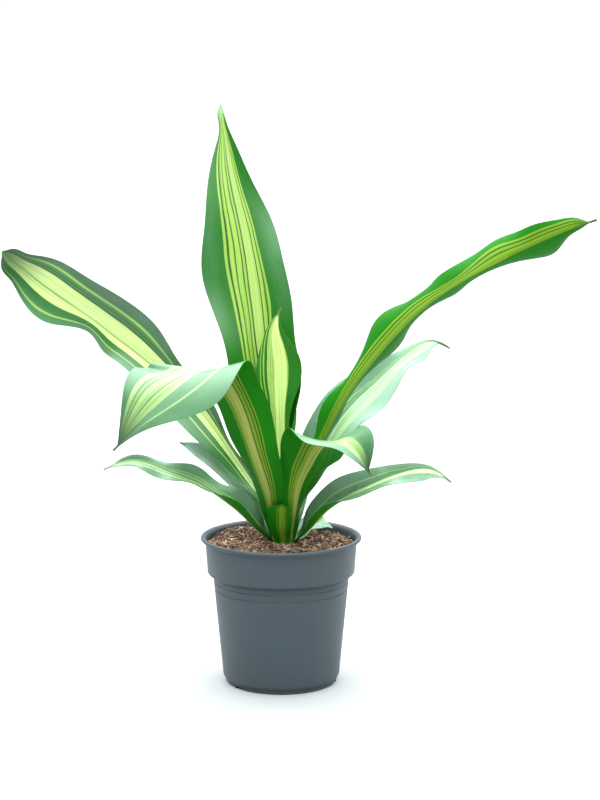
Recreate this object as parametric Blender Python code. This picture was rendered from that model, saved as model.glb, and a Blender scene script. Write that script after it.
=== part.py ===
"""Potted dracaena: a striped, strap-leaved plant in a round plastic nursery pot.

World axes: the pot stands on z = 0 round the Z axis, +X is the viewer's right and -Y faces the viewer.
Sizes are in millimetres and are turned into metres where a mesh gets its points.
"""
import math

import bmesh
import bpy
import numpy as np

MM = 0.001

# Driving sizes of the pot
POT_HEIGHT = 157.0
RIM_RADIUS = 85.0
COLLAR_RADIUS = 80.2
COLLAR_HEIGHT = 38.0
WALL_TOP_RADIUS = 72.2
WALL_FOOT_RADIUS = 62.0
FOOT_RADIUS = 58.8
FOOT_HEIGHT = 3.5
WALL_THICKNESS = 1.5
FLOOR_THICKNESS = 2.0
POT_SIDES = 48
BOSS_RADIUS = 9.0
GROOVE_DEPTH = 0.6
GROOVES_BELOW_RIM = (48.0, 56.0)

# Cuts in the pot's foot and floor
NOTCH_COUNT = 3
NOTCH_WIDTH = 12.0
NOTCH_HEIGHT = 2.6
FIRST_NOTCH_ANGLE = -137.0
DRAIN_COUNT = 6
DRAIN_RADIUS = 5.0
DRAIN_RING_RADIUS = 38.0

# Gap between touching pieces
GAP = 0.3

# Stem, its axis and the layers in which the leaf bases stand round it
STEM_X = 2.0
STEM_Y = -5.0
STEM_FOOT = 84.0
STEM_FOOT_RADIUS = 10.0
STEM_NODE_HEIGHT = 146.0
STEM_NODE_RADIUS = 14.0
STEM_TIP_HEIGHT = 188.0
STEM_TIP_RADIUS = 3.4
STEM_SIDES = 24
LAYER_RADII = (5.2, 7.6, 10.0, 12.4, 14.8)

# Soil
SOIL_EDGE_HEIGHT = 146.5
SOIL_CROWN = 4.5
SOIL_HOLE_RADIUS = 18.5
SOIL_HOLE_FLOOR = 144.5
SOIL_SIDES = 48

# Leaf thickness at the margin, along the midrib and at the base
MARGIN_THICKNESS = 0.8
RIB_THICKNESS = 1.5
BASE_THICKNESS = 1.7
RIB_HALF_WIDTH = 4.0
TIP_HALF_WIDTH = 0.8
HAIR_LENGTH = 8.0
WRAP_LENGTH = 30.0
MIDRIB_STEPS = 400

# Leaves. layer: which ring of leaf bases, 0 innermost. side: the base's direction round the stem in degrees
# from +X. path: points of the midrib from just above the base to the tip. The lists are read at even steps
# from base to tip. left, right: half-widths, seen on the upper face with the tip up. fold, curl, turn and
# slant are degrees: the V of the two halves, how far each half bends up from midrib to margin, the turn of
# the blade about its midrib, and how far a crease across the blade is off square. wave: height and number
# of the margin's waves, then the share of a wave by which the left and right margins are shifted.
# width_at: shares of the length where the half-widths hold, if the steps aren't even. hair: length of the
# fine dry tip, if it isn't HAIR_LENGTH.
LEAVES = {
    "leaf_tall": dict(
        layer=1, side=98,
        path=((-4, 10, 215), (-20, 28, 297), (-34, 54, 396), (-44, 74, 468), (-56, 98, 543),
              (-66, 119, 607)),
        hair=1,
        width_at=(0, 0.1, 0.2, 0.3, 0.4, 0.5, 0.6, 0.7, 0.8, 0.9, 0.95, 0.98, 1),
        left=(9, 18, 26, 35, 35, 40, 47, 40, 29, 12, 5, 5, 1),
        right=(9, 14, 28, 48, 45, 47, 43, 36, 22, 10, 4, 2, 1),
        fold=(0, 20, 12, 10, 14), curl=(0, 14, 10, 8, 10), turn=(0, -5, -5, 0, 0), slant=(0, 0),
        wave=(4, 3, 0.1, 0.55),
    ),
    "leaf_upper_left": dict(
        layer=2, side=140,
        path=((-28, 8, 207), (-52, 20, 240), (-86, 38, 285), (-150, 65, 340), (-226, 88, 394),
              (-304, 104, 449)),
        hair=1,
        width_at=(0, 0.1, 0.2, 0.3, 0.4, 0.5, 0.6, 0.65, 0.7, 0.8, 0.9, 0.95, 0.985, 1),
        left=(9, 9, 13, 25, 27, 25, 22, 22, 16, 33, 28, 19, 12, 1),
        right=(9, 8, 10, 14, 24, 32, 38, 40, 40, 33, 25, 15, 9, 1),
        fold=(0, 24, 16, 5, 14), curl=(0, 14, 8, 4, 6), turn=(0, -65, -62, -66, -55), slant=(0, 0),
        wave=(5, 4, 0, 0.4),
    ),
    "leaf_bent_left": dict(
        layer=3, side=225,
        path=((-14, -25, 205), (-27, -39, 248), (-45, -50, 303), (-61, -61, 332), (-78, -80, 344),
              (-97, -94, 335), (-124, -102, 311), (-166, -112, 268)),
        left=(8.5, 13, 21, 26, 29, 28, 38, 46, 33, 12, 1),
        right=(8.5, 13, 19, 20, 21, 23, 34, 43, 47, 28, 1),
        fold=(0, 16, 16, 10, 4, 12, 20), curl=(0, 14, 8, 4, 4, 6, 8),
        turn=(0, 25, 30, 36, -5, -48, -60), slant=(0, 20, 45, 54, 45, 15, 0), wave=(3, 3, 0.2, 0.6),
    ),
    "leaf_young": dict(
        layer=0, side=85,
        path=((0, 4, 225), (-1, 8, 258), (-2, 12, 304), (-4, 18, 348), (-6, 24, 378), (0, 30, 396)),
        left=(6, 9, 11, 13, 16, 21, 26, 22, 12, 1), right=(6, 8, 8, 10, 14, 19, 26, 24, 12, 1),
        fold=(0, 30, 26, 18, 16), curl=(0, 14, 10, 8, 8), turn=(0, 0, 0, 0, 0), slant=(0, 0),
        wave=(2, 2, 0, 0.3),
    ),
    "leaf_upper_right": dict(
        layer=2, side=330,
        path=((21, -14, 208), (45, -26, 267), (71, -44, 318), (108, -63, 370), (159, -92, 422),
              (222, -110, 460), (268, -128, 484), (306, -140, 499)),
        hair=9,
        width_at=(0, 0.1, 0.2, 0.3, 0.4, 0.5, 0.6, 0.7, 0.8, 0.85, 0.9, 0.95, 0.98, 1),
        left=(9, 15, 20, 24, 36, 40, 30, 27, 34, 36, 32, 14, 7, 1),
        right=(9, 8, 14, 18, 34, 39, 38, 17, 36, 22, 16, 13, 9, 1),
        fold=(0, 38, 42, 36, 4), curl=(0, 60, 64, 60, 36), turn=(0, -44, -64, -62, -62), slant=(0, 0),
        wave=(8, 5, 0.45, 0.35),
    ),
    "leaf_bent_right": dict(
        layer=3, side=310,
        path=((14, -26, 188), (18, -32, 214), (31, -46, 244), (45, -76, 268), (66, -97, 273),
              (91, -119, 243)),
        left=(8.5, 10, 16, 24, 30, 34, 34, 30, 24, 24, 1),
        right=(8.5, 9, 15, 24, 32, 35, 34, 31, 17, 10, 1), fold=(0, 28, 28, 30, 16, 26, 12),
        curl=(0, 14, 8, 4, 2, 2, 4), turn=(0, -24, -46, -32, -20, 40, 62),
        slant=(0, -5, -44, -46, -36, 0, 0), wave=(4, 2.5, -0.2, 0.8),
    ),
    "leaf_right_back": dict(
        layer=3, side=32,
        path=((24, 15, 195), (40, 24, 232), (56, 36, 263), (77, 49, 290), (104, 64, 313), (133, 83, 337),
              (166, 96, 351), (184, 103, 343)),
        hair=15, left=(7.5, 9, 14, 22, 28, 30, 28, 23, 17, 10, 5, 1),
        right=(7.5, 10, 14, 18, 22, 28, 30, 28, 22, 18, 18, 1), fold=(0, 28, 20, 16, 12),
        curl=(0, 12, 8, 4, 4), turn=(0, 24, 50, 48, 50), slant=(0, 0), wave=(4, 3.5, -0.2, 0.6),
    ),
    "leaf_low_right": dict(
        layer=4, side=345,
        path=((25, -15, 163), (47, -25, 188), (70, -32, 205), (99, -40, 221), (127, -45, 233),
              (155, -50, 237), (175, -56, 225)),
        left=(6, 11, 18, 21, 23, 21, 17, 13, 8, 4, 1), right=(6, 12, 18, 20, 20, 19, 17, 15, 14, 12, 1),
        fold=(0, 24, 30, 33, 26, 20, 8, 8), curl=(0, 24, 24, 14, 8, 0, 0, 0),
        turn=(0, 15, 22, 30, 42, 44, 60, 60), slant=(0, 0), wave=(2, 3, -0.1, 0.4),
    ),
    "leaf_low_left": dict(
        layer=4, side=202,
        path=((-21, -17, 164), (-42, -25, 186), (-60, -31, 202), (-80, -36, 217), (-113, -46, 233),
              (-150, -49, 246), (-181, -59, 239)),
        left=(6, 13, 17, 18, 17, 16, 14, 14, 12, 8, 1), right=(6, 13, 17, 21, 17, 16, 16, 11, 8, 6, 1),
        fold=(0, 32, 32, 26, 24, 14, 10, 8), curl=(0, 24, 24, 14, 8, 0, 0, 0),
        turn=(0, -25, -25, -20, -40, -46, -46, -50), slant=(0, 0), wave=(3, 3.5, 0.15, 0.25),
    ),
    "leaf_left_back": dict(
        layer=4, side=143,
        path=((-23, 14, 178), (-41, 25, 204), (-60, 34, 220), (-82, 38, 237), (-109, 47, 248)),
        hair=3, left=(6, 9, 12, 13, 12, 11, 8, 1), right=(6, 10, 12, 11, 11, 11, 9, 1),
        fold=(0, 30, 18, 10), curl=(0, 12, 6, 6), turn=(0, -20, -40, -45), slant=(0, 0),
        wave=(2.5, 2, -0.2, 0.4),
    ),
    "leaf_front_short": dict(
        layer=4, side=270,
        path=((1, -26, 166), (1, -33, 184), (1, -37, 198)),
        hair=1, width_at=(0, 0.3, 0.6, 0.8, 0.95, 1), left=(7, 8, 10, 9, 7, 1),
        right=(6, 10, 16, 16, 12, 1), fold=(0, 10, 10), curl=(0, 12, 8), turn=(0, 0, 0), slant=(0, 0),
        wave=(1, 1.5, 0, 0.4),
    ),
    "leaf_rear_right": dict(
        layer=4, side=42,
        path=((19, 6, 155.5), (25, 15, 161), (35, 26, 163), (44, 40, 163), (48, 55, 161)),
        hair=1, width_at=(0, 0.3, 0.6, 0.8, 0.95, 1), left=(6, 9, 12, 13, 9, 1),
        right=(6, 7, 9, 10, 9, 1), fold=(0, 14, 13, 12), curl=(0, 12, 6, 4),
        turn=(0, 5, 20, 30, 30), slant=(0, 0), wave=(0.5, 1.5, 0, 0.4),
    ),
    "leaf_rear": dict(
        layer=3, side=112,
        path=((-7, 20, 205), (-10, 45, 262), (-17, 80, 306), (-22, 125, 325), (-28, 175, 312),
              (-32, 215, 275)),
        left=(7.5, 8.5, 24, 30, 28, 18, 1), right=(7.5, 10, 24, 30, 28, 18, 1), fold=(0, 24, 14, 8, 8),
        curl=(0, 12, 6, 2, 2), turn=(0, 0, 0, 0, 0), slant=(0, 0), wave=(2.5, 3, 0, 0.4),
    ),
}

# Rows along and columns across a blade, for the long leaves and for those shorter than LONG_LEAF
LONG_LEAF = 160.0
LONG_GRID = (24, 6)
SHORT_GRID = (14, 6)

# Colours (linear) with roughness
PLASTIC_COLOUR = (0.075, 0.11, 0.13)
SOIL_COLOUR = (0.16, 0.08, 0.04)
STEM_COLOUR = (0.22, 0.25, 0.08)
LEAF_COLOUR = (0.12, 0.42, 0.05)
YOUNG_LEAF_COLOUR = (0.26, 0.6, 0.1)


def clear_scene():
    for found in list(bpy.data.objects):
        bpy.data.objects.remove(found, do_unlink=True)


def material(name, colour, roughness):
    made = bpy.data.materials.new(name)
    made.use_nodes = True
    shader = made.node_tree.nodes["Principled BSDF"]
    shader.inputs["Base Color"].default_value = (*colour, 1.0)
    shader.inputs["Roughness"].default_value = roughness
    shader.inputs["Metallic"].default_value = 0.0
    made.diffuse_color = (*colour, 1.0)
    return made


def add_object(name, bm, look, sharp_angle=40.0):
    """Turn a bmesh into a smooth-shaded object of its own, faces outward."""
    bmesh.ops.recalc_face_normals(bm, faces=bm.faces)
    mesh = bpy.data.meshes.new(name)
    bm.to_mesh(mesh)
    bm.free()
    mesh.shade_smooth()
    mesh.set_sharp_from_angle(angle=math.radians(sharp_angle))
    mesh.materials.append(look)
    made = bpy.data.objects.new(name, mesh)
    bpy.context.scene.collection.objects.link(made)
    return made


def turned(profile, sides, centre=(0.0, 0.0)):
    """A closed body of revolution from (radius, height) points that start and end on the axis."""
    bm = bmesh.new()
    ring = [bm.verts.new((centre[0] * MM + r * MM, centre[1] * MM, z * MM)) for r, z in profile]
    edges = [bm.edges.new(pair) for pair in zip(ring, ring[1:])]
    bmesh.ops.spin(
        bm, geom=ring + edges, cent=(centre[0] * MM, centre[1] * MM, 0.0), axis=(0.0, 0.0, 1.0),
        angle=2.0 * math.pi, steps=sides, use_merge=True,
    )
    bmesh.ops.remove_doubles(bm, verts=bm.verts, dist=0.001 * MM)
    return bm


def wall_radius(height):
    """The outer wall's radius between the foot and the collar."""
    top = POT_HEIGHT - COLLAR_HEIGHT - 4.0
    low = FOOT_HEIGHT + 5.0
    share = (height - low) / (top - low)
    return WALL_FOOT_RADIUS + share * (WALL_TOP_RADIUS - WALL_FOOT_RADIUS)


def pot_profile():
    """Outside from the middle of the underside up to the rim, then down inside to the floor's middle."""
    low = FOOT_HEIGHT + 5.0
    step = POT_HEIGHT - COLLAR_HEIGHT - 4.0
    collar_foot = POT_HEIGHT - COLLAR_HEIGHT
    floor = FOOT_HEIGHT + FLOOR_THICKNESS
    outside = [
        (0.0, 0.0), (BOSS_RADIUS, 0.0), (BOSS_RADIUS + 0.6, FOOT_HEIGHT),
        (FOOT_RADIUS - 3.2, FOOT_HEIGHT), (FOOT_RADIUS - 2.6, 0.0), (FOOT_RADIUS - 0.6, 0.0),
        (FOOT_RADIUS, 0.7), (FOOT_RADIUS + 0.6, FOOT_HEIGHT),
        (FOOT_RADIUS + 1.9, FOOT_HEIGHT + 1.8), (WALL_FOOT_RADIUS, low),
    ]
    for below in reversed(GROOVES_BELOW_RIM):
        middle = POT_HEIGHT - below
        outside += [
            (wall_radius(middle - 0.8), middle - 0.8),
            (wall_radius(middle) - GROOVE_DEPTH, middle),
            (wall_radius(middle + 0.8), middle + 0.8),
        ]
    outside += [
        (WALL_TOP_RADIUS, step), (WALL_TOP_RADIUS + 0.5, step + 0.4),
        (COLLAR_RADIUS - 3.2, collar_foot - 1.4), (COLLAR_RADIUS - 2.2, collar_foot + 0.4),
        (COLLAR_RADIUS, POT_HEIGHT - 5.0), (COLLAR_RADIUS + 0.4, POT_HEIGHT - 4.5),
        (RIM_RADIUS - 0.7, POT_HEIGHT - 4.4), (RIM_RADIUS, POT_HEIGHT - 3.4),
        (RIM_RADIUS, POT_HEIGHT - 1.4), (RIM_RADIUS - 0.8, POT_HEIGHT - 0.2),
        (RIM_RADIUS - 2.4, POT_HEIGHT),
    ]
    inside = [
        (RIM_RADIUS - 4.2, POT_HEIGHT - 0.8), (COLLAR_RADIUS - WALL_THICKNESS, POT_HEIGHT - 4.0),
        (COLLAR_RADIUS - 2.2 - WALL_THICKNESS, collar_foot + 0.8),
        (WALL_TOP_RADIUS - WALL_THICKNESS, step + 0.6),
        (WALL_FOOT_RADIUS - WALL_THICKNESS, low + 0.4), (FOOT_RADIUS - WALL_THICKNESS, floor),
        (0.0, floor),
    ]
    return outside + inside


def foot_cutter():
    """Boxes for the notches in the foot ring and round bars for the drain holes, kept apart."""
    bm = bmesh.new()
    for number in range(NOTCH_COUNT):
        angle = math.radians(FIRST_NOTCH_ANGLE + 360.0 * number / NOTCH_COUNT)
        made = bmesh.ops.create_cube(bm, size=1.0)["verts"]
        bmesh.ops.scale(bm, vec=(14.0 * MM, NOTCH_WIDTH * MM, 2.0 * NOTCH_HEIGHT * MM), verts=made)
        bmesh.ops.translate(bm, vec=((FOOT_RADIUS - 2.0) * MM, 0.0, 0.0), verts=made)
        turn = np.array(((math.cos(angle), -math.sin(angle)), (math.sin(angle), math.cos(angle))))
        for vert in made:
            vert.co.x, vert.co.y = turn @ (vert.co.x, vert.co.y)
    for number in range(DRAIN_COUNT):
        angle = 2.0 * math.pi * number / DRAIN_COUNT
        made = bmesh.ops.create_cone(
            bm, cap_ends=True, segments=12, radius1=DRAIN_RADIUS * MM, radius2=DRAIN_RADIUS * MM,
            depth=4.0 * FLOOR_THICKNESS * MM,
        )["verts"]
        place = (
            DRAIN_RING_RADIUS * math.cos(angle) * MM, DRAIN_RING_RADIUS * math.sin(angle) * MM,
            (FOOT_HEIGHT + 0.5 * FLOOR_THICKNESS) * MM,
        )
        bmesh.ops.translate(bm, vec=place, verts=made)
    return bm


def build_pot():
    look = material("pot", PLASTIC_COLOUR, 0.55)
    pot = add_object("pot", turned(pot_profile(), POT_SIDES), look)
    cutter = add_object("foot_cuts", foot_cutter(), look)
    cutter.hide_render = True
    cutter.display_type = "WIRE"
    cut = pot.modifiers.new("foot cuts", "BOOLEAN")
    cut.operation = "DIFFERENCE"
    cut.solver = "EXACT"
    cut.object = cutter


def stem_radius(height):
    return float(np.interp(
        height,
        (STEM_FOOT, STEM_NODE_HEIGHT, STEM_TIP_HEIGHT),
        (STEM_FOOT_RADIUS, STEM_NODE_RADIUS, STEM_TIP_RADIUS),
    ))


def build_stem():
    """A short cane that stands in the soil and tapers to the growing tip between the leaf bases."""
    profile = [(0.0, STEM_FOOT), (STEM_FOOT_RADIUS - 1.0, STEM_FOOT), (STEM_FOOT_RADIUS, STEM_FOOT + 1.0)]
    profile += [(stem_radius(z), z) for z in np.linspace(STEM_NODE_HEIGHT - 40.0, STEM_TIP_HEIGHT, 7)]
    profile += [(0.6 * STEM_TIP_RADIUS, STEM_TIP_HEIGHT + 2.0), (0.0, STEM_TIP_HEIGHT + 2.6)]
    add_object("stem", turned(profile, STEM_SIDES, (STEM_X, STEM_Y)), material("stem", STEM_COLOUR, 0.6))


def soil_height(x, y):
    """The heaped surface of the potting mix: higher round the stem and at the left back."""
    reach = math.hypot(x, y) / RIM_RADIUS
    height = SOIL_EDGE_HEIGHT + SOIL_CROWN * max(0.0, 1.0 - reach * reach)
    height += 5.0 * math.exp(-((x + 42.0) ** 2 + (y - 40.0) ** 2) / (2.0 * 20.0 ** 2))
    height += 0.7 * math.sin(0.17 * x + 1.0) * math.cos(0.19 * y)
    return height


def build_soil():
    """The potting mix with a plain hole for the stem and the ring of leaf bases."""
    floor = FOOT_HEIGHT + FLOOR_THICKNESS + GAP
    low = FOOT_HEIGHT + 5.4
    step = POT_HEIGHT - COLLAR_HEIGHT - 3.4
    collar_foot = POT_HEIGHT - COLLAR_HEIGHT + 0.8
    inner = WALL_THICKNESS + 2.0 * GAP
    outer_edge = COLLAR_RADIUS - inner - 1.0
    profile = [
        (0.0, floor), (FOOT_RADIUS - inner, floor), (WALL_FOOT_RADIUS - inner, low + 0.4),
        (WALL_TOP_RADIUS - inner, step), (COLLAR_RADIUS - 2.2 - inner, collar_foot),
        (outer_edge, SOIL_EDGE_HEIGHT),
    ]
    top_rings = 7
    for number in range(1, top_rings + 1):
        share = number / top_rings
        profile.append((outer_edge + share * (SOIL_HOLE_RADIUS - outer_edge), SOIL_EDGE_HEIGHT))
    hole = STEM_NODE_RADIUS + GAP
    profile += [(SOIL_HOLE_RADIUS, SOIL_HOLE_FLOOR), (hole, SOIL_HOLE_FLOOR)]
    profile += [(STEM_FOOT_RADIUS + GAP + 0.2, STEM_FOOT + 1.0), (STEM_FOOT_RADIUS + GAP, STEM_FOOT - GAP)]
    profile += [(0.0, STEM_FOOT - GAP)]
    bm = turned(profile, SOIL_SIDES)
    for vert in bm.verts:
        radius = math.hypot(vert.co.x, vert.co.y) / MM
        height = vert.co.z / MM
        share = (outer_edge - radius) / (outer_edge - SOIL_HOLE_RADIUS)
        in_hole = radius < SOIL_HOLE_RADIUS + 0.01
        on_top = abs(height - SOIL_EDGE_HEIGHT) < 0.01
        shift = 1.0 if in_hole else max(0.0, share) if on_top else 0.0
        vert.co.x += shift * STEM_X * MM
        vert.co.y += shift * STEM_Y * MM
        if on_top:
            vert.co.z = soil_height(vert.co.x / MM, vert.co.y / MM) * MM
    add_object("soil", bm, material("soil", SOIL_COLOUR, 0.95), sharp_angle=50.0)


def spline(knots, values, places):
    """The natural cubic spline through the values at the knots, read at the places."""
    knots = np.asarray(knots, float)
    values = np.asarray(values, float)
    places = np.asarray(places, float)
    gaps = np.diff(knots)
    slopes = np.diff(values, axis=0) / gaps.reshape(-1, *([1] * (values.ndim - 1)))
    system = np.eye(len(knots))
    target = np.zeros_like(values)
    for k in range(1, len(knots) - 1):
        system[k, k - 1:k + 2] = gaps[k - 1], 2.0 * (gaps[k - 1] + gaps[k]), gaps[k]
        target[k] = 6.0 * (slopes[k] - slopes[k - 1])
    bend = np.linalg.solve(system, target)
    span = np.clip(np.searchsorted(knots, places) - 1, 0, len(gaps) - 1)
    shape = (-1,) + (1,) * (values.ndim - 1)
    gap = gaps[span].reshape(shape)
    before = (places - knots[span]).reshape(shape)
    after = gap - before
    return (
        (bend[span] * after ** 3 + bend[span + 1] * before ** 3) / (6.0 * gap)
        + (values[span] / gap - bend[span] * gap / 6.0) * after
        + (values[span + 1] / gap - bend[span + 1] * gap / 6.0) * before
    )


def along(values, shares, places=None):
    """A quantity given at even steps from base to tip, or at places, read at the shares of the length."""
    return spline(np.linspace(0.0, 1.0, len(values)) if places is None else places, values, shares)


def base_point(leaf, rise=0.0):
    """Where the leaf's midrib starts: on its layer's circle, at the height where the stem is that thick."""
    radius = LAYER_RADII[leaf["layer"]]
    height = np.interp(
        -(radius - 2.0 * GAP), (-STEM_NODE_RADIUS, -STEM_TIP_RADIUS), (STEM_NODE_HEIGHT, STEM_TIP_HEIGHT)
    )
    angle = math.radians(leaf["side"])
    reach = radius + 0.1 * rise
    return np.array((STEM_X + reach * math.cos(angle), STEM_Y + reach * math.sin(angle), height + rise))


def midrib(leaf):
    """The midrib at MIDRIB_STEPS even steps: distance from the base, points, and the directions along,
    across (to the right when the upper face is seen with the tip up) and up from the upper face."""
    knots_at = np.array([base_point(leaf), base_point(leaf, 7.0), *leaf["path"]], float)
    knots = np.concatenate(((0.0,), np.cumsum(np.linalg.norm(np.diff(knots_at, axis=0), axis=1))))
    fine = np.linspace(0.0, knots[-1], MIDRIB_STEPS + 1)
    walked = np.linalg.norm(np.diff(spline(knots, knots_at, fine), axis=0), axis=1)
    walked = np.concatenate(((0.0,), np.cumsum(walked)))
    distance = np.linspace(0.0, walked[-1], MIDRIB_STEPS + 1)
    points = spline(knots, knots_at, np.interp(distance, walked, fine))
    ahead = np.gradient(points, axis=0)
    ahead /= np.linalg.norm(ahead, axis=1)[:, None]
    angle = math.radians(leaf["side"])
    upward = np.array((-math.cos(angle), -math.sin(angle), 0.0))
    up = np.zeros_like(points)
    for row, direction in enumerate(ahead):
        upward = upward - (upward @ direction) * direction
        upward /= np.linalg.norm(upward)
        up[row] = upward
    across = np.cross(ahead, up)
    turn = np.radians(along(leaf["turn"], distance / distance[-1]))[:, None]
    turned_across = across * np.cos(turn) - up * np.sin(turn)
    turned_up = up * np.cos(turn) + across * np.sin(turn)
    return distance, points, ahead, turned_across, turned_up


def read_at(distance, vectors, places):
    """Vectors known along the midrib, read at a grid of distances from the base."""
    return np.stack([np.interp(places, distance, vectors[:, axis]) for axis in range(3)], axis=-1)


def blade_surfaces(leaf, rows, columns):
    """The leaf's upper and lower faces as grids of points in millimetres, rows from base to tip."""
    distance, points, ahead, across, up = midrib(leaf)
    shares = np.linspace(0.0, 1.0, rows + 1)[:, None]
    side = np.linspace(-1.0, 1.0, columns + 1)[None, :]
    away = np.abs(side)
    own = shares * distance[-1]
    # The outline ends a little before the tip, which is a fine dry hair
    outline = np.minimum(own / (distance[-1] - leaf.get("hair", HAIR_LENGTH)), 1.0)[:, 0]
    left_widths = along(leaf["left"], outline, leaf.get("width_at"))[:, None]
    right_widths = along(leaf["right"], outline, leaf.get("width_at"))[:, None]
    widths = np.maximum(np.where(side < 0.0, left_widths, right_widths), TIP_HALF_WIDTH)
    # At the base the blade is wrapped round the stem, and it opens into a channel above
    wrap = np.clip(1.0 - own / WRAP_LENGTH, 0.0, 1.0)
    wrap = wrap * wrap * (3.0 - 2.0 * wrap)
    fold = np.radians(along(leaf["fold"], shares[:, 0]))[:, None] * (1.0 - wrap)
    hug = widths / LAYER_RADII[leaf["layer"]]
    curl = np.radians(along(leaf["curl"], shares[:, 0]))[:, None] * (1.0 - wrap) + hug * wrap
    curl = np.where(np.abs(curl) < 1e-3, 1e-3, curl)
    bent = fold + curl * away
    lateral = widths * (np.sin(bent) - np.sin(fold)) / curl
    height = widths * (np.cos(fold) - np.cos(bent)) / curl
    size, count, left_shift, right_shift = leaf["wave"]
    shift = np.where(side < 0.0, left_shift, right_shift)
    swell = size * np.sin(math.pi * shares) ** 0.7 * away ** 2
    ripple = swell * np.sin(2.0 * math.pi * (count * shares + shift))
    lateral = (lateral - ripple * np.sin(bent)) * np.sign(side)
    height = height + ripple * np.cos(bent)
    # A slanted crease: each point takes its frame from where the crease through it meets the midrib
    slant = np.tan(np.radians(along(leaf["slant"], shares[:, 0])))[:, None]
    place = np.clip(own - slant * lateral, 0.0, distance[-1])
    upper = read_at(distance, points, place) + (own - place)[..., None] * read_at(distance, ahead, place)
    upper += lateral[..., None] * read_at(distance, across, place)
    upper += height[..., None] * read_at(distance, up, place)
    normal = np.cross(np.gradient(upper, axis=1), np.gradient(upper, axis=0))
    normal /= np.linalg.norm(normal, axis=2)[..., None]
    rib = np.exp(-((side * widths) / RIB_HALF_WIDTH) ** 2) * (1.0 - shares)
    thickness = MARGIN_THICKNESS + (RIB_THICKNESS - MARGIN_THICKNESS) * rib
    thickness += (BASE_THICKNESS - RIB_THICKNESS) * np.exp(-own / WRAP_LENGTH) * rib
    return upper, upper - normal * thickness[..., None]


def leaf_body(leaf, rows, columns):
    """One closed blade: a triangulated grid, extruded once and shaped into the two faces."""
    upper, lower = blade_surfaces(leaf, rows, columns)
    bm = bmesh.new()
    bmesh.ops.create_grid(bm, x_segments=columns, y_segments=rows, size=1.0)
    bmesh.ops.triangulate(bm, faces=bm.faces, quad_method="FIXED")
    first = list(bm.verts)
    grown = bmesh.ops.extrude_face_region(bm, geom=bm.faces[:], use_keep_orig=True)["geom"]
    second = [item for item in grown if isinstance(item, bmesh.types.BMVert)]
    for verts, surface in ((first, lower), (second, upper)):
        for vert in verts:
            row = round((vert.co.y + 1.0) / 2.0 * rows)
            column = round((vert.co.x + 1.0) / 2.0 * columns)
            vert.co = surface[row, column] * MM
    return bm


def build_leaves():
    mature = material("leaf", LEAF_COLOUR, 0.4)
    young = material("young leaf", YOUNG_LEAF_COLOUR, 0.4)
    for name, leaf in LEAVES.items():
        length = midrib(leaf)[0][-1]
        rows, columns = LONG_GRID if length > LONG_LEAF else SHORT_GRID
        look = young if name == "leaf_young" else mature
        add_object(name, leaf_body(leaf, rows, columns), look, sharp_angle=75.0)


def main():
    clear_scene()
    build_pot()
    build_soil()
    build_stem()
    build_leaves()


main()
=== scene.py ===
import math

import bmesh
import bpy
import numpy as np
from mathutils import Matrix, Vector


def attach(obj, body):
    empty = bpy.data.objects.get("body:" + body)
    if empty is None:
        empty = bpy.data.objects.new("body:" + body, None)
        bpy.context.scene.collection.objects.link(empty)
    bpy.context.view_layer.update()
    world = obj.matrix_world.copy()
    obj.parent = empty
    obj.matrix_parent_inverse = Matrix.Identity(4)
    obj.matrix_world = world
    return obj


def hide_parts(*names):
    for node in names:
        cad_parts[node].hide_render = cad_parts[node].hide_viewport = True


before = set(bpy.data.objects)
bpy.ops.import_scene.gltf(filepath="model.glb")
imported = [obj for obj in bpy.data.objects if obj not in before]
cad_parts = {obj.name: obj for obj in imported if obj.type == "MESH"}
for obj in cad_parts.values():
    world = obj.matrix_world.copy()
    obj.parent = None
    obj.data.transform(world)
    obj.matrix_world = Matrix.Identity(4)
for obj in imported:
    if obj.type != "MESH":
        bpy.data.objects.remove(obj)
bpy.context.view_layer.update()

bl_info = {
    "name": "Potted dracaena",
    "version": (1, 0, 0),
    "blender": (4, 5, 0),
    "location": "View3D > Sidebar > Dracaena",
    "description": "Builds a striped dracaena in a nursery pot round its packed CAD frame",
    "category": "Object",
}

# World axes: the pot stands on z = 0 round the Z axis, +X is the viewer's right and -Y faces the viewer.
# Sizes are in millimetres and are turned into metres where a mesh gets its points.
MM = 0.001

# Pot, with the sizes of the CAD source
POT_HEIGHT = 157.0
RIM_RADIUS = 85.0
COLLAR_RADIUS = 80.2
COLLAR_TAPER = 2.2
WALL_TOP_RADIUS = 72.2
WALL_FOOT_RADIUS = 62.0
FOOT_RADIUS = 58.8
FOOT_HEIGHT = 3.5
WALL_THICKNESS = 1.5
FLOOR_THICKNESS = 2.0
BOSS_RADIUS = 9.0
GROOVES_BELOW_RIM = (48.0, 56.0)
COLLAR_FOOT = POT_HEIGHT - 38.0
WALL_TOP = COLLAR_FOOT - 4.0
WALL_FOOT = FOOT_HEIGHT + 5.0

# Cuts in the pot's foot and floor
NOTCH_COUNT = 3
NOTCH_LENGTH = 14.0
NOTCH_WIDTH = 12.0
NOTCH_HEIGHT = 2.6
FIRST_NOTCH_ANGLE = -137.0
DRAIN_COUNT = 6
DRAIN_RADIUS = 5.0
DRAIN_RING_RADIUS = 38.0
POT_SHARP_ANGLE = 42.0

# Stem and the rings in which the leaf bases stand round it
STEM_X = 2.0
STEM_Y = -5.0
STEM_FOOT = 84.0
STEM_FOOT_RADIUS = 10.0
STEM_NODE_HEIGHT = 146.0
STEM_NODE_RADIUS = 14.0
STEM_TIP_HEIGHT = 188.0
STEM_TIP_RADIUS = 3.4
LAYER_RADII = (5.2, 7.6, 10.0, 12.4, 14.8)
GAP = 0.3

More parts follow.
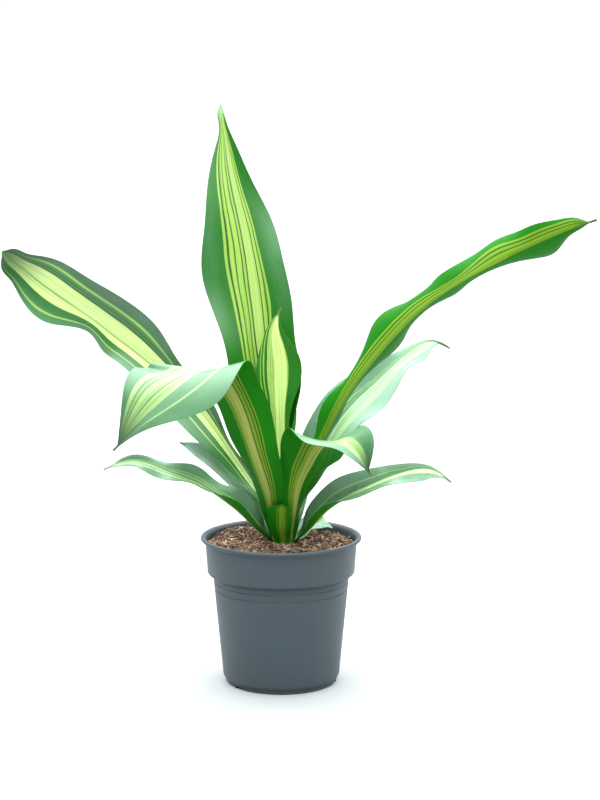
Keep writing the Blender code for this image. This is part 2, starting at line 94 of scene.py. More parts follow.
# Potting mix: its surface, the heap at the left back, and the loose bits on it
SOIL_EDGE_HEIGHT = 146.5
SOIL_CROWN = 4.5
SOIL_HOLE_RADIUS = 18.5
SOIL_HOLE_FLOOR = 144.5
HEAP_X = -42.0
HEAP_Y = 40.0
HEAP_HEIGHT = 5.0
HEAP_REACH = 20.0
SOIL_SIDES = 160
SOIL_RINGS = 48
DEEPEST_PIT = 1.6
CHIP_REACH = (17.0, 76.0)
CHIP_WIDTH = (0.8, 3.2)
CHIP_THICKNESS = (0.4, 1.3)
CHIP_LIFT = (-0.6, 1.4)
CHIP_TILT = 0.38
CHIP_ROLL = 0.4
CHIP_JITTER = 0.28
FIBRE_REACH = (20.0, 72.0)
FIBRE_LENGTH = (6.0, 22.0)
FIBRE_RADIUS = (0.12, 0.3)
FIBRE_ARCH = 1.6
FIBRE_POINTS = 9

# Blade thickness, a little finer at the margin than the source's, and the sizes at base and tip
MARGIN_THICKNESS = 0.6
RIB_THICKNESS = 1.5
BASE_THICKNESS = 1.7
RIB_HALF_WIDTH = 4.0
TIP_HALF_WIDTH = 0.8
HAIR_LENGTH = 8.0
WRAP_LENGTH = 30.0
MIDRIB_STEPS = 400
BLADE_SHARP_ANGLE = 60.0

# Leaves, as in the CAD source. layer: which ring of leaf bases, 0 innermost. side: the base's direction
# round the stem in degrees from +X. path: points of the midrib from just above the base to the tip. The
# lists are read at even steps from base to tip. left, right: half-widths, seen on the upper face with the
# tip up. fold, curl, turn and slant are degrees: the V of the two halves, how far each half bends up from
# midrib to margin, the turn of the blade about its midrib, and how far a crease across the blade, if there
# is one, is off square. wave: height and number of the margin's waves, then the share of a wave by which
# the left and right margins are shifted. width_at: shares of the length where the half-widths hold, if the
# steps aren't even. hair: length of the fine dry tip, if it isn't HAIR_LENGTH.
LEAVES = {
    "leaf_tall": dict(
        layer=1, side=98,
        path=((-4, 10, 215), (-20, 28, 297), (-34, 54, 396), (-44, 74, 468), (-56, 98, 543),
              (-66, 119, 607)),
        hair=1,
        width_at=(0, 0.1, 0.2, 0.3, 0.4, 0.5, 0.6, 0.7, 0.8, 0.9, 0.95, 0.98, 1),
        left=(9, 18, 26, 35, 35, 40, 47, 40, 29, 12, 5, 5, 1),
        right=(9, 14, 28, 48, 45, 47, 43, 36, 22, 10, 4, 2, 1),
        fold=(0, 20, 12, 10, 14), curl=(0, 14, 10, 8, 10), turn=(0, -5, -5, 0, 0),
        wave=(4, 3, 0.1, 0.55),
    ),
    "leaf_upper_left": dict(
        layer=2, side=140,
        path=((-28, 8, 207), (-52, 20, 240), (-86, 38, 285), (-150, 65, 340), (-226, 88, 394),
              (-304, 104, 449)),
        hair=1,
        width_at=(0, 0.1, 0.2, 0.3, 0.4, 0.5, 0.6, 0.65, 0.7, 0.8, 0.9, 0.95, 0.985, 1),
        left=(9, 9, 13, 25, 27, 25, 22, 22, 16, 33, 28, 19, 12, 1),
        right=(9, 8, 10, 14, 24, 32, 38, 40, 40, 33, 25, 15, 9, 1),
        fold=(0, 24, 16, 5, 14), curl=(0, 14, 8, 4, 6), turn=(0, -65, -62, -66, -55),
        wave=(5, 4, 0, 0.4),
    ),
    "leaf_bent_left": dict(
        layer=3, side=225,
        path=((-14, -25, 205), (-27, -39, 248), (-45, -50, 303), (-61, -61, 332), (-78, -80, 344),
              (-97, -94, 335), (-124, -102, 311), (-166, -112, 268)),
        left=(8.5, 13, 21, 26, 29, 28, 38, 46, 33, 12, 1),
        right=(8.5, 13, 19, 20, 21, 23, 34, 43, 47, 28, 1),
        fold=(0, 16, 16, 10, 4, 12, 20), curl=(0, 14, 8, 4, 4, 6, 8),
        turn=(0, 25, 30, 36, -5, -48, -60), slant=(0, 20, 45, 54, 45, 15, 0), wave=(3, 3, 0.2, 0.6),
    ),
    "leaf_young": dict(
        layer=0, side=85,
        path=((0, 4, 225), (-1, 8, 258), (-2, 12, 304), (-4, 18, 348), (-6, 24, 378), (0, 30, 396)),
        left=(6, 9, 11, 13, 16, 21, 26, 22, 12, 1), right=(6, 8, 8, 10, 14, 19, 26, 24, 12, 1),
        fold=(0, 30, 26, 18, 16), curl=(0, 14, 10, 8, 8), turn=(0, 0, 0, 0, 0),
        wave=(2, 2, 0, 0.3),
    ),
    "leaf_upper_right": dict(
        layer=2, side=330,
        path=((21, -14, 208), (45, -26, 267), (71, -44, 318), (108, -63, 370), (159, -92, 422),
              (222, -110, 460), (268, -128, 484), (306, -140, 499)),
        hair=9,
        width_at=(0, 0.1, 0.2, 0.3, 0.4, 0.5, 0.6, 0.7, 0.8, 0.85, 0.9, 0.95, 0.98, 1),
        left=(9, 15, 20, 24, 36, 40, 30, 27, 34, 36, 32, 14, 7, 1),
        right=(9, 8, 14, 18, 34, 39, 38, 17, 36, 22, 16, 13, 9, 1),
        fold=(0, 38, 42, 36, 4), curl=(0, 60, 64, 60, 36), turn=(0, -44, -64, -62, -62),
        wave=(8, 5, 0.45, 0.35),
    ),
    "leaf_bent_right": dict(
        layer=3, side=310,
        path=((14, -26, 188), (18, -32, 214), (31, -46, 244), (45, -76, 268), (66, -97, 273),
              (91, -119, 243)),
        left=(8.5, 10, 16, 24, 30, 34, 34, 30, 24, 24, 1),
        right=(8.5, 9, 15, 24, 32, 35, 34, 31, 17, 10, 1), fold=(0, 28, 28, 30, 16, 26, 12),
        curl=(0, 14, 8, 4, 2, 2, 4), turn=(0, -24, -46, -32, -20, 40, 62),
        slant=(0, -5, -44, -46, -36, 0, 0), wave=(4, 2.5, -0.2, 0.8),
    ),
    "leaf_right_back": dict(
        layer=3, side=32,
        path=((24, 15, 195), (40, 24, 232), (56, 36, 263), (77, 49, 290), (104, 64, 313), (133, 83, 337),
              (166, 96, 351), (184, 103, 343)),
        hair=15, left=(7.5, 9, 14, 22, 28, 30, 28, 23, 17, 10, 5, 1),
        right=(7.5, 10, 14, 18, 22, 28, 30, 28, 22, 18, 18, 1), fold=(0, 28, 20, 16, 12),
        curl=(0, 12, 8, 4, 4), turn=(0, 24, 50, 48, 50), wave=(4, 3.5, -0.2, 0.6),
    ),
    "leaf_low_right": dict(
        layer=4, side=345,
        path=((25, -15, 163), (47, -25, 188), (70, -32, 205), (99, -40, 221), (127, -45, 233),
              (155, -50, 237), (175, -56, 225)),
        left=(6, 11, 18, 21, 23, 21, 17, 13, 8, 4, 1), right=(6, 12, 18, 20, 20, 19, 17, 15, 14, 12, 1),
        fold=(0, 24, 30, 33, 26, 20, 8, 8), curl=(0, 24, 24, 14, 8, 0, 0, 0),
        turn=(0, 15, 22, 30, 42, 44, 60, 60), wave=(2, 3, -0.1, 0.4),
    ),
    "leaf_low_left": dict(
        layer=4, side=202,
        path=((-21, -17, 164), (-42, -25, 186), (-60, -31, 202), (-80, -36, 217), (-113, -46, 233),
              (-150, -49, 246), (-181, -59, 239)),
        left=(6, 13, 17, 18, 17, 16, 14, 14, 12, 8, 1), right=(6, 13, 17, 21, 17, 16, 16, 11, 8, 6, 1),
        fold=(0, 32, 32, 26, 24, 14, 10, 8), curl=(0, 24, 24, 14, 8, 0, 0, 0),
        turn=(0, -25, -25, -20, -40, -46, -46, -50), wave=(3, 3.5, 0.15, 0.25),
    ),
    "leaf_left_back": dict(
        layer=4, side=143,
        path=((-23, 14, 178), (-41, 25, 204), (-60, 34, 220), (-82, 38, 237), (-109, 47, 248)),
        hair=3, left=(6, 9, 12, 13, 12, 11, 8, 1), right=(6, 10, 12, 11, 11, 11, 9, 1),
        fold=(0, 30, 18, 10), curl=(0, 12, 6, 6), turn=(0, -20, -40, -45),
        wave=(2.5, 2, -0.2, 0.4),
    ),
    "leaf_front_short": dict(
        layer=4, side=270,
        path=((1, -26, 166), (1, -33, 184), (1, -37, 198)),
        hair=1, width_at=(0, 0.3, 0.6, 0.8, 0.95, 1), left=(7, 8, 10, 9, 7, 1),
        right=(6, 10, 16, 16, 12, 1), fold=(0, 10, 10), curl=(0, 12, 8), turn=(0, 0, 0),
        wave=(1, 1.5, 0, 0.4),
    ),
    "leaf_rear_right": dict(
        layer=4, side=42,
        path=((19, 6, 155.5), (25, 15, 161), (35, 26, 163), (44, 40, 163), (48, 55, 161)),
        hair=1, width_at=(0, 0.3, 0.6, 0.8, 0.95, 1), left=(6, 9, 12, 13, 9, 1),
        right=(6, 7, 9, 10, 9, 1), fold=(0, 14, 13, 12), curl=(0, 12, 6, 4),
        turn=(0, 5, 20, 30, 30), wave=(0.5, 1.5, 0, 0.4),
    ),
    "leaf_rear": dict(
        layer=3, side=112,
        path=((-7, 20, 205), (-10, 45, 262), (-17, 80, 306), (-22, 125, 325), (-28, 175, 312),
              (-32, 215, 275)),
        left=(7.5, 8.5, 24, 30, 28, 18, 1), right=(7.5, 10, 24, 30, 28, 18, 1), fold=(0, 24, 14, 8, 8),
        curl=(0, 12, 6, 2, 2), turn=(0, 0, 0, 0, 0), wave=(2.5, 3, 0, 0.4),
    ),
}


def ribbed(left, right):
    """An under face's stripes: one light band from left to right with a golden midrib."""
    return dict(light=((left, -5), (5, right)), gold=((-5, 5),))


# Stripes of each leaf's two faces by tone, each from where to where in percent of the half-width, with the
# left half negative, seen on the upper face with the tip up. Between them lies the margin's green. spread:
# how much wider the stripes stand near the base and near the tip. drift: how far they have moved to the
# right at the tip. The painted sheen: share of a pale reflection of the bright sky painted into the upper
# face's colour everywhere, more of it along the margins, and where along the leaf that is strongest and
# how
# far it reaches. tip: how the last bit of the blade looks, if it isn't green.
MARKINGS = {
    "leaf_tall": dict(
        upper=dict(light=((-42, -35), (-30, -21), (-18, -7), (-4, 1), (31, 39), (42, 47)), pale=((5, 28),),
                   dark=((-35, -30), (-21, -18), (-7, -4), (1, 5), (28, 31), (39, 42))),
        under=ribbed(-40, 44),
        spread=(1.0, 1.4), drift=-20, painted_sheen=(0.0, 0.12, 0.62, 0.2), tip="pale",
    ),
    "leaf_upper_left": dict(
        upper=dict(light=((-70, -64), (62, 68)), bright=((-36, -9), (-6, 38)),
                   mid=((-9, -6), (44, 49), (54, 60)), dark=((38, 44), (49, 54), (72, 100))),
        under=ribbed(-35, 30),
        spread=(0.8, 1.2), painted_sheen=(0.08, 0.12, 0.8, 0.5), tip="dark",
    ),
    "leaf_bent_left": dict(
        upper=dict(pale=((-47, -42), (-10, 9), (13, 30), (44, 54)), mid=((9, 13), (30, 34)),
                   light=((34, 40),)),
        under=dict(light=((-52, -47), (-42, -36), (-33, -23), (24, 34)), gold=((-19, 2),),
                   dark=((-47, -42), (-36, -33), (-23, -19)), pale=((2, 18),), mid=((18, 24),)),
        spread=(1.0, 1.2), drift=15, painted_sheen=(0.27, 0.04, 0.8, 0.5), tip="dark",
    ),
    "leaf_young": dict(
        upper=dict(light=((-80, -76), (-66, -60), (36, 42)), pale=((-48, -20),), bright=((-20, 36),)),
        under=ribbed(-40, 40),
        spread=(1.5, 1.4),
    ),
    "leaf_upper_right": dict(
        upper=dict(light=((-30, 30),)),
        under=dict(light=((-6, 10), (13, 21), (25, 33)), dark=((10, 13), (21, 25))),
        spread=(1.0, 2.0), drift=10,
    ),
    "leaf_bent_right": dict(
        upper=dict(light=((-30, 10), (13, 40)), mid=((10, 13),)),
        under=dict(mid=((-60, -52), (-46, -30)), gold=((-12, 12),), light=((12, 24), (27, 35), (38, 45)),
                   dark=((24, 27), (35, 38))),
        painted_sheen=(0.27, 0.04, 0.8, 0.5), tip="dark",
    ),
    "leaf_right_back": dict(
        upper=dict(light=((-25, -20), (-14, -10), (-2, 10), (14, 20), (24, 50))),
        under=ribbed(-35, 35),
        spread=(1.0, 1.2), painted_sheen=(0.5, 0.06, 0.6, 0.5),
    ),
    "leaf_low_right": dict(
        upper=dict(light=((-47, -40),), bright=((-8, 24),)),
        under=dict(light=((-30, -22), (-16, -6), (10, 30)), gold=((-6, 10),), mid=((50, 56),)),
        spread=(1.0, 1.3), drift=10, painted_sheen=(0.4, 0.15, 0.8, 0.4),
    ),
    "leaf_low_left": dict(
        upper=dict(light=((-45, -26), (-10, 2), (14, 26), (34, 42))),
        under=dict(gold=((-20, 2),), light=((10, 20), (27, 36), (45, 50))),
        drift=-15, painted_sheen=(0.32, 0.2, 0.9, 0.4),
    ),
    "leaf_left_back": dict(
        upper=dict(light=((0, 16), (50, 56))),
        under=dict(light=((-20, 20),)),
        painted_sheen=(0.85, 0.1, 0.6, 0.5),
    ),
    "leaf_front_short": dict(
        upper=dict(light=((-30, 30),)),
        under=dict(mid=((-62, -40),), light=((-36, -18), (-14, 18), (27, 32)), dark=((-18, -14),)),
    ),
    "leaf_rear_right": dict(
        upper=dict(light=((-20, 20),)),
        under=dict(light=((-20, 20),)),
        painted_sheen=(0.6, 0.1, 0.6, 0.5), tip="pale",
    ),
    "leaf_rear": dict(
        upper=dict(light=((-40, -4), (40, 44)), pale=((0, 30),)),
        under=ribbed(-35, 35),
    ),
}

# Softness of a stripe's edges, as a share of the blade's width, the colour of the painted sheen (a pale
# reflection of the bright sky painted into the upper faces), and the looks of hair and tips. A tip's look
# is where its colour starts, as a share of the length, and the colour.
STRIPE_SOFTNESS = 0.005
# Pale mint of the painted sheen: a reflection of the bright sky painted into the upper faces' colour
PAINTED_SHEEN_COLOUR = (0.28, 0.45, 0.33)
HAIR_COLOUR = (0.08, 0.11, 0.03)
TIP_LOOKS = {
    "dark": (0.84, (0.006, 0.05, 0.006)),
    "green": (0.94, (0.05, 0.14, 0.02)),
    "pale": (0.955, (0.25, 0.5, 0.22)),
}

# How often each kind of noise repeats across a blade and along it: the stripes' wandering edges, fine
# streaks in the pale bands, the veins, and patches of painted sheen (painted sky reflection) and gloss
WANDER = (5.0, 5.0)
STREAKS = (44.0, 1.6)
VEINS = (150.0, 3.0)
PATCHES = (4.0, 9.0)

# Middle and palest colours of the bark, and the three of the cane's bark
BARK_MIDDLE = (0.11, 0.056, 0.032)
BARK_PALE = (0.46, 0.32, 0.2)
CANE_COLOURS = ((0.3, (0.09, 0.12, 0.03)), (0.55, (0.25, 0.3, 0.09)), (0.75, (0.4, 0.36, 0.18)))

# Studio, with the floor and the softbox in metres and the lens in millimetres. The sky is a bright dome
# overhead, which fades in between two heights, and a backdrop, which fades in from behind the viewer to
# behind the plant, between two strengths.
FLOOR_HALF_SIZE = 40.0
SOFTBOX_PLACE = (0.0, 0.5, 2.6)
SOFTBOX_SIZE = 3.2
SOFTBOX_COLOUR = (0.97, 0.99, 1.0)
SOFTBOX_AIM = (0.0, 0.0, 0.3)
LENS = 90.0
SENSOR_WIDTH = 36.0
DOME_COLOUR = (0.9, 0.97, 1.0)
DOME_EDGES = (0.36, 0.88)
BACKDROP_EDGES = (-0.1, 0.6)
BACKDROP_STRENGTHS = (0.24, 1.12)


def colour_setting(name, description, default):
    return bpy.props.FloatVectorProperty(
        name=name, description=description, subtype="COLOR", size=3, min=0.0, max=1.0, default=default)


def length_setting(name, description, default):
    return bpy.props.FloatProperty(name=name, description=description, default=default, unit="LENGTH")


def count_setting(name, description, default, least):
    return bpy.props.IntProperty(name=name, description=description, default=default, min=least)


class PotSettings(bpy.types.PropertyGroup):
    colour: colour_setting("Plastic colour", "Colour of the moulded plastic", (0.036, 0.056, 0.068))
    rim_bead: length_setting("Rim bead", "Height of the rolled rim", 4.4 * MM)
    groove_depth: length_setting("Groove depth", "Depth of the two lines below the collar", 0.7 * MM)
    sides: count_setting("Sides", "Steps round the pot", 144, 24)


class SoilSettings(bpy.types.PropertyGroup):
    chips: count_setting("Bark chips", "How many chips lie on the surface", 3400, 0)
    fibres: count_setting("Fibres", "How many coir fibres lie on the surface", 170, 0)
    chip_length: length_setting("Chip length", "Length of the longest chips", 9.0 * MM)
    dark: colour_setting("Dark chips", "Colour of damp chips", (0.022, 0.011, 0.006))
    light: colour_setting("Light chips", "Colour of dry chips", (0.38, 0.24, 0.15))


class LeafSettings(bpy.types.PropertyGroup):
    margin: colour_setting("Margin green", "Dark green of the upper face", (0.008, 0.13, 0.003))
    dark: colour_setting("Dark lines", "Darkest green of the fine lines", (0.006, 0.07, 0.006))
    mid: colour_setting("Middle green", "Green of the thin dark stripes", (0.03, 0.16, 0.012))
    light: colour_setting("Light stripe", "Yellow-green of the stripes", (0.28, 0.46, 0.06))
    pale: colour_setting("Pale stripe", "Palest yellow of the band", (0.35, 0.51, 0.115))
    bright: colour_setting("Bright stripe", "Brightest yellow of the young leaves", (0.6, 0.76, 0.25))
    gold: colour_setting("Midrib below", "Tan of the midrib on the under face", (0.32, 0.36, 0.08))
    under: colour_setting("Green below", "Green of the under face", (0.007, 0.15, 0.001))
    under_light: colour_setting(
        "Light stripe below", "Yellow-green of the stripes on the under face", (0.15, 0.28, 0.016))
    under_pale: colour_setting("Pale stripe below", "Palest stripe of the under face", (0.26, 0.38, 0.06))
    row_length: length_setting("Row length", "Spacing of the mesh rows along a blade", 2.4 * MM)
    columns: count_setting("Columns", "Mesh columns across a blade", 36, 6)


class StageSettings(bpy.types.PropertyGroup):
    floor: colour_setting("Floor colour", "Colour of the plain floor", (0.36, 0.36, 0.36))
    camera_distance: length_setting("Camera distance", "From the pot's axis, towards the viewer", 2.07)
    camera_height: length_setting("Camera height", "Above the floor", 0.624)
    camera_right: length_setting("Camera to the right", "Of the pot's axis", 0.020)
    camera_pitch: bpy.props.FloatProperty(
        name="Camera pitch", description="How far the camera looks down", default=math.radians(8.85),
        unit="ROTATION")
    softbox_power: bpy.props.FloatProperty(
        name="Softbox power", description="Power of the overhead softbox, in watts", default=40.0)
    dome_strength: bpy.props.FloatProperty(
        name="Dome strength", description="Brightness of the sky overhead", default=5.4)


# Materials

def new_material(name):
    made = bpy.data.materials.new(name)
    made.use_nodes = True
    return made, made.node_tree, made.node_tree.nodes["Principled BSDF"]


def feed(tree, node, inputs):
    """Link the values that are sockets to the node's inputs, and set the numbers and colours there."""
    for name, value in inputs.items():
        socket = node.inputs[name]
        if isinstance(value, bpy.types.NodeSocket):
            tree.links.new(value, socket)
        elif socket.type == "RGBA":
            socket.default_value = (*value, 1.0)
        else:
            socket.default_value = value


def add_node(tree, kind, output, inputs, **fields):
    """A shader node with its fields and inputs set. Gives back the output socket asked for."""
    made = tree.nodes.new("ShaderNode" + kind)
    for name, value in fields.items():
        setattr(made, name, value)
    feed(tree, made, inputs)
    return made.outputs[output]


def math_node(tree, operation, *values):
    return add_node(tree, "Math", 0, dict(enumerate(values)), operation=operation)


def vector_of(tree, *values):
    return add_node(tree, "CombineXYZ", 0, dict(enumerate(values)))


def noise(tree, vector, scale, detail=2.0, roughness=0.5):
    inputs = {"Vector": vector, "Scale": scale, "Detail": detail, "Roughness": roughness}
    return add_node(tree, "TexNoise", "Fac", inputs, noise_dimensions="3D")


def remap(tree, value, low, high, to_low, to_high, smooth=False):
    inputs = {"Value": value, "From Min": low, "From Max": high, "To Min": to_low, "To Max": to_high}
    return add_node(tree, "MapRange", "Result", inputs,
                    interpolation_type="SMOOTHSTEP" if smooth else "LINEAR")


def varied(tree, value, to_low, to_high):
    """Noise, which mostly lies between 0.3 and 0.7, spread between two numbers."""
    return remap(tree, value, 0.3, 0.7, to_low, to_high)


def mix_colour(tree, factor, first, second, blend="MIX"):
    return add_node(tree, "Mix", 2, {0: factor, 6: first, 7: second}, data_type="RGBA", blend_type=blend,
                    clamp_result=blend != "MIX")


def ramp(tree, value, stops):
    made = tree.nodes.new("ShaderNodeValToRGB")
    elements = made.color_ramp.elements
    elements.remove(elements[-1])
    elements[0].position = stops[0][0]
    elements[0].color = (*stops[0][1], 1.0)
    for place, colour in stops[1:]:
        elements.new(place).color = (*colour, 1.0)
    feed(tree, made, {"Fac": value})
    return made.outputs["Color"]


def bump(tree, height, strength, distance):
    return add_node(tree, "Bump", "Normal", {"Strength": strength, "Distance": distance, "Height": height})


def object_coordinates(tree):
    return add_node(tree, "TexCoord", "Object", {})


def plastic_material(name, colour):
    """Matte plastic with a fine speckle and faint clouds."""
    made, tree, shader = new_material(name)
    place = object_coordinates(tree)
    speckle = noise(tree, place, 900.0, 3.0, 0.6)
    cloud = noise(tree, place, 26.0, 3.0)
    shade = math_node(tree, "MULTIPLY", varied(tree, speckle, 0.86, 1.13), varied(tree, cloud, 0.95, 1.05))
    feed(tree, shader, {
        "Base Color": add_node(tree, "VectorMath", 0, {0: colour, "Scale": shade}, operation="SCALE"),
        "Roughness": varied(tree, cloud, 0.42, 0.52),
        "Normal": bump(tree, speckle, 0.25, 0.25 * MM),
    })
    return made


def bark_material(name, dark, light):
    """Bark and coir: each bit has its own tone in the mesh, varied by a fine grain."""
    made, tree, shader = new_material(name)
    tone = add_node(tree, "Attribute", "Fac", {}, attribute_name="tone")
    grain = noise(tree, object_coordinates(tree), 700.0, 3.0)
    shade = math_node(tree, "ADD", tone, varied(tree, grain, -0.13, 0.13))
    feed(tree, shader, {
        "Base Color": ramp(tree, shade, (
            (0.0, dark), (0.35, BARK_MIDDLE), (0.7, light), (1.0, BARK_PALE))),
        "Roughness": 0.85,
        "Normal": bump(tree, grain, 0.5, 0.4 * MM),
    })
    return made


def cane_material(name):
    """Green bark with rings round the cane."""
    made, tree, shader = new_material(name)
    place = object_coordinates(tree)
    stretched = add_node(tree, "Mapping", 0, {"Vector": place, "Scale": (1.0, 1.0, 6.0)})
    rings = noise(tree, stretched, 60.0, 3.0)
    feed(tree, shader, {
        "Base Color": ramp(tree, rings, CANE_COLOURS),
        "Roughness": 0.6,
        "Normal": bump(tree, rings, 0.3, 0.5 * MM),
    })
    return made


def stripe_stops(stripes, tones):
    """Colour stops from 0 to 1 for stripes from -100 to 100, with the margin's green between them."""
    cells = []
    cursor = -100
    for start, end, tone in sorted(stripes):
        if start > cursor:
            cells.append((cursor, "margin"))
        cells.append((start, tone))
        cursor = end
    if cursor < 100:
        cells.append((cursor, "margin"))
    stops = [(0.0, tones[cells[0][1]])]
    for (_, before), (edge, after) in zip(cells, cells[1:]):
        place = 0.5 + 0.005 * edge
        stops.append((place - STRIPE_SOFTNESS, tones[before]))
        stops.append((place + STRIPE_SOFTNESS, tones[after]))
    return stops


def stripe_colour(tree, across, stripes, tones):
    """The stripes of the left half and of the right half, each in its own colour ramp."""
    spans = [(start, end, tone) for tone, places in stripes.items() for start, end in places]
    left = [(start, min(end, 0), tone) for start, end, tone in spans if start < 0]
    right = [(max(start, 0), end, tone) for start, end, tone in spans if end > 0]
    on_right = remap(tree, across, 0.4999, 0.5001, 0.0, 1.0)
    return mix_colour(tree, on_right, ramp(tree, across, stripe_stops(left, tones)),
                      ramp(tree, across, stripe_stops(right, tones)))


def blade_noise(tree, across, length, repeats, seed, detail=2.0):
    """Noise laid on the blade itself, stretched across it and along it."""
    place = vector_of(tree, math_node(tree, "MULTIPLY", across, repeats[0]),
                      math_node(tree, "MULTIPLY", length, repeats[1]), seed)
    return noise(tree, place, 1.0, detail)


def stripe_place(tree, across, length, marks, seed):
    """Where a point lies in the stripes' pattern, which wanders, drifts and spreads along the blade."""
    wander = blade_noise(tree, across, length, WANDER, seed)
    shifted = math_node(tree, "ADD", across, varied(tree, wander, -0.512, -0.488))
    if "drift" in marks:
        moved = remap(tree, length, 0.6, 0.95, 0.0, -0.005 * marks["drift"], smooth=True)
        shifted = math_node(tree, "ADD", shifted, moved)
    base_spread, tip_spread = marks.get("spread", (1.0, 1.0))
    near_base = remap(tree, length, 0.3, 0.6, 1.0 / base_spread, 1.0, smooth=True)
    near_tip = remap(tree, length, 0.65, 0.95, 1.0, 1.0 / tip_spread, smooth=True)
    shifted = math_node(tree, "MULTIPLY", shifted, math_node(tree, "MULTIPLY", near_base, near_tip))
    return math_node(tree, "ADD", shifted, 0.5)


def painted_sheen_share(tree, across, length, patches, painted_sheen):
    """How much painted sky reflection lies at a point: a share everywhere, and more along the margins."""
    everywhere, along_margins, middle, reach = painted_sheen
    from_rib = math_node(tree, "ABSOLUTE", math_node(tree, "SUBTRACT", across, 0.5))
    at_margin = remap(tree, from_rib, 0.22, 0.44, 0.0, along_margins, smooth=True)
    from_middle = math_node(tree, "ABSOLUTE", math_node(tree, "SUBTRACT", length, middle))
    near_middle = remap(tree, from_middle, 0.3 * reach, reach, 1.0, 0.0, smooth=True)
    at_margin = math_node(tree, "MULTIPLY", at_margin, near_middle)
    share = math_node(tree, "ADD", at_margin, everywhere)
    return math_node(tree, "MULTIPLY", share, varied(tree, patches, 0.8, 1.15))


def blade_material(name, stripes, marks, tones, seed, under, hair_share):
    """Stripes along the blade from its own UV map, with veins, streaks, a painted sheen of sky reflection
    and a dry tip.
    """
    made, tree, shader = new_material(name)
    uv = add_node(tree, "UVMap", "UV", {}, uv_map="blade")
    across = add_node(tree, "SeparateXYZ", "X", {0: uv})
    length = add_node(tree, "SeparateXYZ", "Y", {0: uv})
    banded = stripe_place(tree, across, length, marks, seed)
    colour = stripe_colour(tree, banded, stripes, tones)
    streaks = blade_noise(tree, banded, length, STREAKS, seed + 7.0, 3.0)
    in_band = remap(tree, add_node(tree, "SeparateColor", "Red", {0: colour}), 0.08, 0.26, 0.0, 0.5)
    streaked = math_node(tree, "MULTIPLY", remap(tree, streaks, 0.54, 0.68, 0.0, 1.0), in_band)
    colour = mix_colour(tree, streaked, colour, tones["mid"])
    veins = blade_noise(tree, across, length, VEINS, seed + 3.0)
    vein_shade = varied(tree, veins, 0.82, 1.12)
    colour = mix_colour(tree, 1.0, colour, vector_of(tree, vein_shade, vein_shade, vein_shade), "MULTIPLY")
    patches = blade_noise(tree, across, length, PATCHES, seed + 11.0)
    # Painted reflection: a pale sheen, like the bright sky mirrored in the glossy upper face, mixed into
    # its colour, most along the margins
    if "painted_sheen" in marks and not under:
        painted_sheen = painted_sheen_share(tree, across, length, patches, marks["painted_sheen"])
        colour = mix_colour(tree, painted_sheen, colour, PAINTED_SHEEN_COLOUR)
    tip_start, tip_colour = TIP_LOOKS[marks.get("tip", "green")]
    tip = remap(tree, length, tip_start, 1.0 - hair_share, 0.0, 0.9, smooth=True)
    colour = mix_colour(tree, tip, colour, tip_colour)
    if hair_share > 0.01:
        hair = remap(tree, length, 1.0 - hair_share, 1.0 - 0.7 * hair_share, 0.0, 1.0)
        colour = mix_colour(tree, hair, colour, HAIR_COLOUR)
    feed(tree, shader, {
        "Base Color": colour,
        "Roughness": varied(tree, patches, 0.5, 0.62) if under else varied(tree, patches, 0.24, 0.36),
        "Specular IOR Level": 0.1 if under else 0.5,
        "Normal": bump(tree, veins, 0.22, 0.35 * MM),
    })
    return made


# Shapes

def add_piece(name, bm, looks, merge=True):
    """Make the bmesh an object at the origin that rides on the one body."""
    if merge:
        bmesh.ops.remove_doubles(bm, verts=bm.verts, dist=0.001 * MM)
    bmesh.ops.recalc_face_normals(bm, faces=bm.faces)
    mesh = bpy.data.meshes.new(name)
    bm.to_mesh(mesh)
    bm.free()
    for look in looks:
        mesh.materials.append(look)
    mesh.shade_smooth()
    made = bpy.data.objects.new(name, mesh)
    bpy.context.scene.collection.objects.link(made)
    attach(made, "root")
    return made


def arc(centre, radius, start, end, steps):
    """Points (radius, height) on an arc, angles in degrees."""
    return [
        (centre[0] + radius * math.cos(a), centre[1] + radius * math.sin(a))
        for a in np.radians(np.linspace(start, end, steps + 1))
    ]


def turned(profile, sides):
    """A closed body of revolution from (radius, height) points that start and end on the axis."""
    bm = bmesh.new()
    ring = [bm.verts.new((r * MM, 0.0, z * MM)) for r, z in profile]
    edges = [bm.edges.new(pair) for pair in zip(ring, ring[1:])]
    bmesh.ops.spin(bm, geom=ring + edges, cent=(0.0, 0.0, 0.0), axis=(0.0, 0.0, 1.0),
                   angle=2.0 * math.pi, steps=sides, use_merge=True)
    bmesh.ops.remove_doubles(bm, verts=bm.verts, dist=0.001 * MM)
    return bm


def wall_radius(height):
    """The outer wall's radius between the foot and the collar."""
    share = (height - WALL_FOOT) / (WALL_TOP - WALL_FOOT)
    return WALL_FOOT_RADIUS + share * (WALL_TOP_RADIUS - WALL_FOOT_RADIUS)


def inside_wall(inset, floor, foot_rise):
    """The pot's walls moved in by the inset, from the middle of the floor up into the collar."""
    return [(0.0, floor), (FOOT_RADIUS - inset, floor), (WALL_FOOT_RADIUS - inset, WALL_FOOT + foot_rise),
            (WALL_TOP_RADIUS - inset, WALL_TOP + 0.6),
            (COLLAR_RADIUS - COLLAR_TAPER - inset, COLLAR_FOOT + 0.8)]


